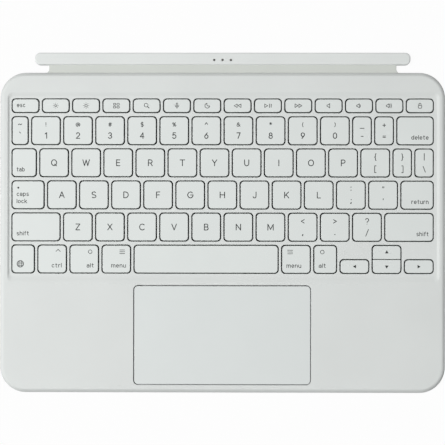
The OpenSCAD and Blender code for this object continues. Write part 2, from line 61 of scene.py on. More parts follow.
# ---------------------------------------------------------------- sizes, in millimetres, as in the CAD
BODY_W, BODY_D, BODY_H, BODY_R = 249.6, 179.5, 6.4, 14.5
UPPER_R, LOWER_R, SEAM_Z = 2.5, 1.5, 3.1
PITCH, FN_D, REAR_Y, CELLS_W = 18.0, 10.0, 76.1, 238.0
WEB, ROW_WEB, GAP, SPLIT, CAP_R = 1.4, 1.7, 0.6, 0.4, 1.9
INSET, ROW_INSET = WEB / 2 + GAP, ROW_WEB / 2 + GAP
BAY_W, BAY_D, BAY_Y, BAY_R, BAY_Z = 240.4, 104.4, 25.25, 2.8, 5.6
CAP_TOP, CAP_LOW, CAP_UNDER = 6.1, 4.3, 5.2
PAD_W, PAD_D, PAD_R, PAD_GAP, PAD_Y = 98.5, 54.9, 2.2, 0.5, -29.95 - 54.9 / 2
PAD_TOP, PAD_LOW = 6.35, 5.0
FLAP_W, FLAP_T = 195.3, 1.0
BEND_Z, BEND_1, BEND_2 = 2.6, 90.55, 93.55
BAR_W, BAR_D, BAR_H, BAR_R, BAR_EDGE, BAR_Y = 211.0, 6.9, 4.0, 2.9, 0.8, 97.7
BAR_SEAM = 2.9
PIN_XS, PIN_Y, PIN_HOLE = (-4.7, 0.0, 4.7), 97.0, 0.625

ROW_REAR = [REAR_Y] + [REAR_Y - FN_D - i * PITCH for i in range(5)]
ROW_D = [FN_D] + [PITCH] * 5
ROWS = [
    [17.0] * 14,
    [11.0] + [PITCH] * 10 + [12.35, 12.35, 22.3],
    [15.6] + [PITCH] * 11 + [12.2, 12.2],
    [20.0] + [PITCH] * 11 + [20.0],
    [29.0] + [PITCH] * 10 + [29.0],
    [14.6] + [PITCH] * 3 + [82.7, PITCH, 14.7] + [PITCH] * 3,
]
FIRST_ARROW = 7  # place of the arrow keys in the last row
ARROW_D = PITCH - 2 * ROW_INSET  # depth of the opening that the up and down keys share
SPLIT_D = (ARROW_D - SPLIT) / 2
SIDE_ARROW_D = SPLIT_D - 0.2


def cap_rect(r, i):
    """A keycap's centre x, centre y, width and depth, by its row and its place in the row."""
    cell_w, cell_d = ROWS[r][i], ROW_D[r]
    left = sum(ROWS[r][:i]) - CELLS_W / 2
    return (left + cell_w / 2, ROW_REAR[r] - cell_d / 2, cell_w - 2 * INSET, cell_d - 2 * ROW_INSET)


def arrow_rect(k):
    """The same for the left, up, down and right arrow keys."""
    x = sum(ROWS[5][: FIRST_ARROW + (0, 1, 1, 2)[k]]) - CELLS_W / 2 + PITCH / 2
    depth = SPLIT_D if k in (1, 2) else SIDE_ARROW_D
    up, down = ROW_REAR[5] - ROW_INSET - depth / 2, ROW_REAR[5] - PITCH + ROW_INSET + depth / 2
    return (x, up if k == 1 else down, PITCH - 2 * INSET, depth)


# ---------------------------------------------------------------- camera: straight down, as in the photograph
camera = bpy.data.objects.new("camera", bpy.data.cameras.new("camera"))
scene.collection.objects.link(camera)
SENSOR, DISTANCE, FIELD_W = 36.0, 0.7525, 0.24993  # the picture is FIELD_W across at DISTANCE
camera.data.sensor_width = SENSOR
camera.data.lens = SENSOR * DISTANCE / FIELD_W
PITCH_UP, LEAN, ROLL, CAMERA_Z = 0.0028, 0.0089, 0.0013, 0.7564  # small tilts, as the photographed rows show
REACH = CAMERA_Z - CAP_TOP * MM
camera.location = (0.0001 + math.tan(LEAN) * REACH, 0.00569 - math.tan(PITCH_UP) * REACH, CAMERA_Z)
camera.rotation_euler = (PITCH_UP, LEAN, ROLL)
camera.data.clip_start, camera.data.clip_end = 0.05, 20.0
scene.camera = camera
scene.view_settings.view_transform = "Standard"


# ---------------------------------------------------------------- materials
def material(name):
    """A new material, its nodes, its links and its shader."""
    m = bpy.data.materials.new(name)
    m.use_nodes = True
    n = m.node_tree.nodes
    return m, n, m.node_tree.links, n["Principled BSDF"]


def mix_color(n, links, factor, low, high):
    """A colour between two others, by a texture's value."""
    ramp = n.new("ShaderNodeValToRGB")
    ramp.color_ramp.elements[0].color = (*low, 1)
    ramp.color_ramp.elements[1].color = (*high, 1)
    ramp.color_ramp.elements[0].position = 0.35
    ramp.color_ramp.elements[1].position = 0.65
    links.new(factor, ramp.inputs["Fac"])
    return ramp.outputs["Color"]


def coords(n):
    return n.new("ShaderNodeTexCoord").outputs["Object"]


def noise(n, links, where, scale, detail=2.0):
    t = n.new("ShaderNodeTexNoise")
    t.inputs["Scale"].default_value = scale
    t.inputs["Detail"].default_value = detail
    links.new(where, t.inputs["Vector"])
    return t.outputs["Fac"]


def bump(n, links, height, depth, strength, below=None):
    b = n.new("ShaderNodeBump")
    b.inputs["Distance"].default_value = depth
    b.inputs["Strength"].default_value = strength
    links.new(height, b.inputs["Height"])
    if below is not None:
        links.new(below, b.inputs["Normal"])
    return b.outputs["Normal"]


def scaled(low, k):
    return tuple(min(1.0, c * k) for c in low)


SKIN = (0.669, 0.693, 0.680)
PEBBLE = 0.00042  # size of the skin's grain, in metres


def skin_material(name, color, rough, depth):
    """Fine-grained synthetic skin: small soft pebbles with creases between them, a mottle and a sheen."""
    m, n, links, p = material(name)
    where = coords(n)
    cells = n.new("ShaderNodeTexVoronoi")
    cells.feature = "SMOOTH_F1"
    cells.inputs["Scale"].default_value = 1 / PEBBLE
    cells.inputs["Smoothness"].default_value = 0.6
    links.new(where, cells.inputs["Vector"])
    mottle = noise(n, links, where, 28.0, 3.0)
    links.new(mix_color(n, links, mottle, scaled(color, 0.985), scaled(color, 1.012)), p.inputs["Base Color"])
    grain = bump(n, links, cells.outputs["Distance"], depth, 0.35)
    fine = noise(n, links, where, 5200.0, 1.0)
    links.new(bump(n, links, fine, depth * 0.5, 0.2, grain), p.inputs["Normal"])
    gloss = n.new("ShaderNodeMapRange")
    gloss.inputs["To Min"].default_value = rough - 0.05
    gloss.inputs["To Max"].default_value = rough + 0.06
    links.new(mottle, gloss.inputs["Value"])
    links.new(gloss.outputs["Result"], p.inputs["Roughness"])
    p.inputs["Specular IOR Level"].default_value = 0.35
    p.inputs["Sheen Weight"].default_value = 0.06
    p.inputs["Sheen Roughness"].default_value = 0.5
    return m


def plastic_material(name, color, rough, speck=4000.0, depth=0.00001, spread=0.01, specular=0.4):
    """Moulded plastic with a spark-eroded texture."""
    m, n, links, p = material(name)
    where = coords(n)
    tone = noise(n, links, where, 60.0, 2.0)
    low, high = scaled(color, 1 - spread), scaled(color, 1 + spread)
    links.new(mix_color(n, links, tone, low, high), p.inputs["Base Color"])
    links.new(bump(n, links, noise(n, links, where, speck, 2.0), depth, 0.3), p.inputs["Normal"])
    p.inputs["Roughness"].default_value = rough
    p.inputs["Specular IOR Level"].default_value = specular
    return m


def metal_material(name, color, rough, along=(1, 30, 30)):
    """Brushed metal: noise stretched along one axis."""
    m, n, links, p = material(name)
    stretch = n.new("ShaderNodeMapping")
    stretch.inputs["Scale"].default_value = along
    links.new(coords(n), stretch.inputs["Vector"])
    lines = noise(n, links, stretch.outputs["Vector"], 300.0, 3.0)
    links.new(mix_color(n, links, lines, scaled(color, 0.93), scaled(color, 1.05)), p.inputs["Base Color"])
    links.new(bump(n, links, lines, 0.00001, 0.25), p.inputs["Normal"])
    p.inputs["Metallic"].default_value = 1.0
    p.inputs["Roughness"].default_value = rough
    return m


def board_material(name, color):
    """Solder resist over copper tracks."""
    m, n, links, p = material(name)
    where = coords(n)
    brick = n.new("ShaderNodeTexBrick")
    brick.inputs["Scale"].default_value = 420.0
    brick.inputs["Mortar Size"].default_value = 0.012
    brick.inputs["Color1"].default_value = (*color, 1)
    brick.inputs["Color2"].default_value = (*scaled(color, 1.15), 1)
    brick.inputs["Mortar"].default_value = (*scaled(color, 1.7), 1)
    links.new(where, brick.inputs["Vector"])
    links.new(brick.outputs["Color"], p.inputs["Base Color"])
    links.new(bump(n, links, brick.outputs["Fac"], 0.00003, 0.3), p.inputs["Normal"])
    p.inputs["Roughness"].default_value = 0.35
    return m


skin = skin_material("skin", SKIN, 0.55, 0.00003)
# The flap's skin is the body's skin painted darker and yellower: painted shade for the flap, which lies lower
# than the body.
shaded_flap_skin = skin_material("shaded_flap_skin", (0.574, 0.598, 0.562), 0.6, 0.00004)
bar_skin = skin_material("bar_skin", scaled(SKIN, 1.045), 0.5, 0.000025)
keycap_plastic = plastic_material("keycap_plastic", (0.688, 0.721, 0.706), 0.5, 6000.0, 0.000008, 0.008)
pad_glass = plastic_material("pad_glass", (0.675, 0.708, 0.698), 0.38, 9000.0, 0.000004, 0.006)
legend_ink = plastic_material("legend_ink", (0.035, 0.038, 0.037), 0.6, 5000.0, 0.000004, 0.05, 0.2)
lamp_lens = plastic_material("lamp_lens", (0.006, 0.006, 0.006), 0.25, 4000.0, 0.000002, 0.1)
frame_plastic = plastic_material("frame_plastic", (0.06, 0.062, 0.063), 0.6, 2500.0, 0.00002, 0.03)
web_plastic = plastic_material("web_plastic", (0.08, 0.082, 0.082), 0.6, 2500.0, 0.00001, 0.03)
link_plastic = plastic_material("link_plastic", (0.12, 0.12, 0.118), 0.5, 3000.0, 0.00001, 0.03)
dark_plastic = plastic_material("dark_plastic", (0.03, 0.03, 0.032), 0.55, 3000.0, 0.00001, 0.1)
rubber = plastic_material("rubber", (0.10, 0.10, 0.098), 0.75, 2600.0, 0.00001, 0.04, 0.2)
membrane_film = plastic_material("membrane_film", (0.03, 0.05, 0.04), 0.35, 900.0, 0.00001, 0.12)
cable_film = plastic_material("cable_film", (0.55, 0.24, 0.04), 0.3, 1500.0, 0.00001, 0.1)
steel = metal_material("steel", (0.42, 0.43, 0.44), 0.38)
aluminium = metal_material("aluminium", (0.58, 0.59, 0.60), 0.42)
magnet_plate = metal_material("magnet_plate", (0.55, 0.55, 0.56), 0.25, (10, 10, 10))
# Metal of the contacts, painted dark: the shade in the pin holes is painted into its colour.
shaded_contact_metal = metal_material("shaded_contact_metal", (0.13, 0.125, 0.115), 0.45, (8, 8, 8))
board = board_material("board", (0.02, 0.10, 0.05))

NODE_MATERIALS = {
    "base_plate": aluminium,
    "deck_frame": frame_plastic,
    "key_web": web_plastic,
    "key_backplate": steel,
    "switch_membrane": membrane_film,
    "clickpad_switch": dark_plastic,
    "clickpad_circuit": board,
    "clickpad_carrier": steel,
    "controller_board": board,
    "closing_magnets": magnet_plate,
    "flap_cable": cable_film,
    "bar_magnets": magnet_plate,
    "contact_carrier": dark_plastic,
    "contact_springs": shaded_contact_metal,
    "contact_pins": shaded_contact_metal,
}
for node_name, mat in NODE_MATERIALS.items():
    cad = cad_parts[node_name]
    cad.data.materials.clear()
    cad.data.materials.append(mat)


# ---------------------------------------------------------------- mesh helpers
SHARP_ANGLE = math.radians(40)


def rounded_rect(w, d, r, cx=0.0, cy=0.0, steps=8, corners=None):
    """Anticlockwise outline, seen from above, with the same number of points whatever its size."""
    points = []
    for k, (sx, sy) in enumerate(((1, 1), (-1, 1), (-1, -1), (1, -1))):
        r = max(r if corners is None else corners[k], 0.02)
        ox, oy = cx + sx * (w / 2 - r), cy + sy * (d / 2 - r)
        for i in range(steps + 1):
            a = math.radians(90 * k + 90 * i / steps)
            points.append((ox + r * math.cos(a), oy + r * math.sin(a)))
    return points


def ring(bm, points, z):
    """Vertices along an outline at a height."""
    return [bm.verts.new((x * MM, y * MM, z * MM)) for x, y in points]


def bridge(bm, a, b):
    for i in range(len(a)):
        j = (i + 1) % len(a)
        bm.faces.new((a[i], a[j], b[j], b[i]))


def loft(bm, rings):
    """Walls from each ring to the next."""
    for a, b in zip(rings, rings[1:]):
        bridge(bm, a, b)


def fill_flat(bm, loops):
    """Flat faces between an outer loop and the loops inside it, all of them convex."""
    verts = [v for loop in loops for v in loop]
    owner = [k for k, loop in enumerate(loops) for v in loop]
    edges, first = [], 0
    for loop in loops:
        edges += [(first + i, first + (i + 1) % len(loop)) for i in range(len(loop))]
        first += len(loop)
    flat = [Vector((v.co.x, v.co.y)) for v in verts]
    faces, ids = delaunay_2d_cdt(flat, edges, [], 2, 1e-9)[2:4]
    for f in faces:
        corners = [ids[i][0] for i in f]
        owners = {owner[c] for c in corners}
        if len(owners) > 1 or 0 in owners:  # three corners on one inner loop: that opening's own middle
            bm.faces.new([verts[c] for c in corners])


def bake_wall(o, wall):
    """Give an open surface a wall below it."""
    solid = o.modifiers.new("solid", "SOLIDIFY")
    solid.thickness = wall * MM
    solid.offset = -1
    solid.use_even_offset = True
    mesh = bpy.data.meshes.new_from_object(o.evaluated_get(bpy.context.evaluated_depsgraph_get()))
    o.modifiers.clear()
    o.data = mesh


def piece(name, bm, mat, body=None, wall=None):
    """A finished piece: a closed mesh as it is, or an open surface with a wall."""
    if wall is None:
        bmesh.ops.recalc_face_normals(bm, faces=bm.faces)
    o = bpy.data.objects.new(name, bpy.data.meshes.new(name))
    bm.to_mesh(o.data)
    bm.free()
    scene.collection.objects.link(o)
    if wall is not None:
        bake_wall(o, wall)
    bm = bmesh.new()
    bm.from_mesh(o.data)
    for e in bm.edges:
        e.smooth = len(e.link_faces) == 2 and e.calc_face_angle() < SHARP_ANGLE
    for f in bm.faces:
        f.smooth = True
    bm.to_mesh(o.data)
    bm.free()
    o.data.materials.append(mat)
    normals = o.modifiers.new("normals", "WEIGHTED_NORMAL")
    normals.weight = 90
    normals.keep_sharp = True
    if body:
        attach(o, body)
    return o


def quarter(n):
    """Pairs (drawn in, dropped) along a quarter round of radius 1, from flat to upright."""
    return [(1 - math.sin(math.pi / 2 * i / n), 1 - math.cos(math.pi / 2 * i / n)) for i in range(n + 1)]


# ---------------------------------------------------------------- body skins
def body_outline(inset, front=None):
    """The body from above, drawn in by inset at the sides and by front at the front and rear."""
    front = inset if front is None else front
    return rounded_rect(BODY_W - 2 * inset, BODY_D - 2 * front, BODY_R - (inset + front) / 2, steps=20)


def bay_outline(t):
    """The bay's soft wall at t of the way down, from 0, its upper rim, to 1, its foot."""
    left, right, rear, front = (out - t * width for out, width in BAY_WALL)
    cx, cy = (right - left) / 2, BAY_Y + (rear - front) / 2
    return rounded_rect(BAY_W + left + right, BAY_D + rear + front, BAY_R + min(left, right), cx, cy, 10)


def opening(bm, rect, grow, radius, top, low, edge):
    """Rings from the flat surface over a small round into an opening, the outermost first."""
    cx, cy, w, d = rect
    rings = []
    for drawn, dropped in quarter(4):
        g, r = grow + edge * drawn, radius + edge * drawn
        rings.append(ring(bm, rounded_rect(w + 2 * g, d + 2 * g, r, cx, cy), top - edge * dropped))
    rings.append(ring(bm, rounded_rect(w + 2 * grow, d + 2 * grow, radius, cx, cy), low))
    loft(bm, rings)
    return rings[0]


ALL_CAPS = [(r, i) for r in range(6) for i in range(len(ROWS[r])) if not (r == 5 and i >= FIRST_ARROW)]
SHARED = (arrow_rect(1)[0], ROW_REAR[5] - PITCH / 2, PITCH - 2 * INSET, ARROW_D)
OPENINGS = [cap_rect(r, i) for r, i in ALL_CAPS] + [arrow_rect(0), SHARED, arrow_rect(3)]
END_EDGE = 2.3  # reach of the upper edge at the front and rear, where it is tighter than at the sides
BAY_STEPS = 10
# The bay's soft wall at the left, right, rear and front: how far its rim lies out of the bay, and its width
BAY_WALL = ((0.45, 1.4), (1.3, 1.5), (1.6, 3.4), (1.6, 5.0))
TOP_SKIN_T, BASE_SKIN_T = 0.18, 0.4
PAD_RIM_LOW, KEY_RIM_LOW = 5.85, 5.25  # feet of the rims round the pad and round the keys
PAD_SHIFT = (-0.08, 0.06)  # of the pad's opening, which is not quite centred on the pad
KEY_OPENING_EXTRA = (0.16, -0.02)  # width and depth over a key with its gap

bm = bmesh.new()
rings = [ring(bm, body_outline(0.0), SEAM_Z), ring(bm, body_outline(0.0), BODY_H - UPPER_R)]
for drawn, dropped in reversed(quarter(9)[:-1]):
    flatter = 0.4 * drawn + 0.6 * (1 - dropped)
    rings.append(ring(bm, body_outline(UPPER_R * drawn, END_EDGE * flatter), BODY_H - UPPER_R * dropped))
loft(bm, rings)
wall = []
for i in range(BAY_STEPS + 1):  # S-shaped, and gentler at the front
    t = i / BAY_STEPS
    drop = (BODY_H - BAY_Z) * t * t * (3 - 2 * t)
    wall.append(ring(bm, bay_outline(t), BODY_H - drop))
loft(bm, wall)
pad_place = (PAD_SHIFT[0], PAD_Y + PAD_SHIFT[1], PAD_W, PAD_D)
pad_rim = opening(bm, pad_place, PAD_GAP, PAD_R + PAD_GAP, BODY_H, PAD_RIM_LOW, 0.15)
fill_flat(bm, [rings[-1], wall[0], pad_rim])
rims = []
for x, y, w, d in OPENINGS:
    key_place = (x, y, w + KEY_OPENING_EXTRA[0], d + KEY_OPENING_EXTRA[1])
    rims.append(opening(bm, key_place, GAP, CAP_R + 0.3, BAY_Z, KEY_RIM_LOW, 0.18))
fill_flat(bm, [wall[-1], *rims])
skin_top = piece("skin_top", bm, skin, "keyboard_base", wall=TOP_SKIN_T)
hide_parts("top_skin")

bm = bmesh.new()
rings = [ring(bm, body_outline(LOWER_R * drawn), LOWER_R * dropped) for drawn, dropped in quarter(7)]
rings.append(ring(bm, body_outline(0.0), SEAM_Z - 0.16))
rings.append(ring(bm, body_outline(0.06), SEAM_Z - 0.05))
loft(bm, rings)
bm.faces.new(list(reversed(rings[0])))
skin_base = piece("skin_base", bm, skin, "keyboard_base", wall=BASE_SKIN_T)
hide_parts("base_skin")


# ---------------------------------------------------------------- keycaps
CAP_EDGE, SKIRT = 0.2, 0.8


def make_cap(name, rect, node, corners=(CAP_R,) * 4):
    """A hollow keycap with a rounded upper edge."""
    cx, cy, w, d = rect
    bm = bmesh.new()

    def outline(inset):
        radii = [max(r - inset, 0.12) for r in corners]
        return rounded_rect(w - 2 * inset, d - 2 * inset, 0, cx, cy, 6, radii)

    rings = [ring(bm, outline(SKIRT), CAP_UNDER), ring(bm, outline(SKIRT), CAP_LOW)]
    rings.append(ring(bm, outline(0), CAP_LOW))
    for drawn, dropped in reversed(quarter(4)):
        rings.append(ring(bm, outline(CAP_EDGE * drawn), CAP_TOP - CAP_EDGE * dropped))
    loft(bm, rings)
    bm.faces.new(list(reversed(rings[0])))
    bm.faces.new(rings[-1])
    o = piece(name, bm, keycap_plastic, node)
    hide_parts(node)


LETTERS = {}
for row, letters in ((2, "qwertyuiop"), (3, "asdfghjkl"), (4, "zxcvbnm")):
    for i, c in enumerate(letters):
        LETTERS[(row, 1 + i)] = c
MODIFIERS = {(1, 13), (2, 0), (3, 0), (4, 0), (4, 11), (5, 0), (5, 1), (5, 2), (5, 3), (5, 5), (5, 6)}


def node_of(r, i):
    """The CAD node that a key is part of."""
    if (r, i) in LETTERS:
        return "key_" + LETTERS[(r, i)]
    if r == 0:
        return "function_keys"
    if r == 1 and 1 <= i <= 10:
        return "number_keys"
    if (r, i) == (5, 4):
        return "space_bar"
    if (r, i) == (3, 12):
        return "return_key"
    return "modifier_keys" if (r, i) in MODIFIERS else "punctuation_keys"


for r, i in ALL_CAPS:
    make_cap("cap_" + LETTERS.get((r, i), f"{r}_{i}"), cap_rect(r, i), node_of(r, i))
SPLIT_R = 0.35  # corner radius where the up and down keys meet
ARROW_CORNERS = {
    "left": (CAP_R,) * 4,
    "up": (CAP_R, CAP_R, SPLIT_R, SPLIT_R),
    "down": (SPLIT_R, SPLIT_R, CAP_R, CAP_R),
    "right": (CAP_R,) * 4,
}
for k, (label, corners) in enumerate(ARROW_CORNERS.items()):
    make_cap("cap_arrow_" + label, arrow_rect(k), "arrow_keys", corners)

# ---------------------------------------------------------------- key legends: ink, a little proud of the caps
INK_LOW, INK_TOP = CAP_TOP - 0.03, CAP_TOP + 0.02
PEN, SMALL_PEN, WORD_PEN, FINE = 0.48, 0.36, 0.34, 0.32  # widths of the pen
WORD, WORD_EDGE, WORD_BASE = 2.5, 2.35, 2.6  # capital height, and distances from a cap's side and front edge
ink = {}  # for each node its marks, each of them a list of outlines


def bow(cx, cy, rx, ry, a0, a1):
    """Points along part of an ellipse, from angle a0 to angle a1."""
    n = max(3, int(abs(a1 - a0) / 18))
    angles = [math.radians(a0 + (a1 - a0) * i / n) for i in range(n + 1)]
    return [(cx + rx * math.cos(a), cy + ry * math.sin(a)) for a in angles]


def whole(cx, cy, rx, ry):
    """Points all round an ellipse, from its top."""
    return bow(cx, cy, rx, ry, 90, 450)


def mirrored(width, strokes):
    """A mark flipped from left to right."""
    return width, [[(width - x, y) for x, y in points] for points in strokes]


def turned(width, strokes):
    """A mark turned by half a turn."""
    return width, [[(width - x, 1 - y) for x, y in points] for points in strokes]


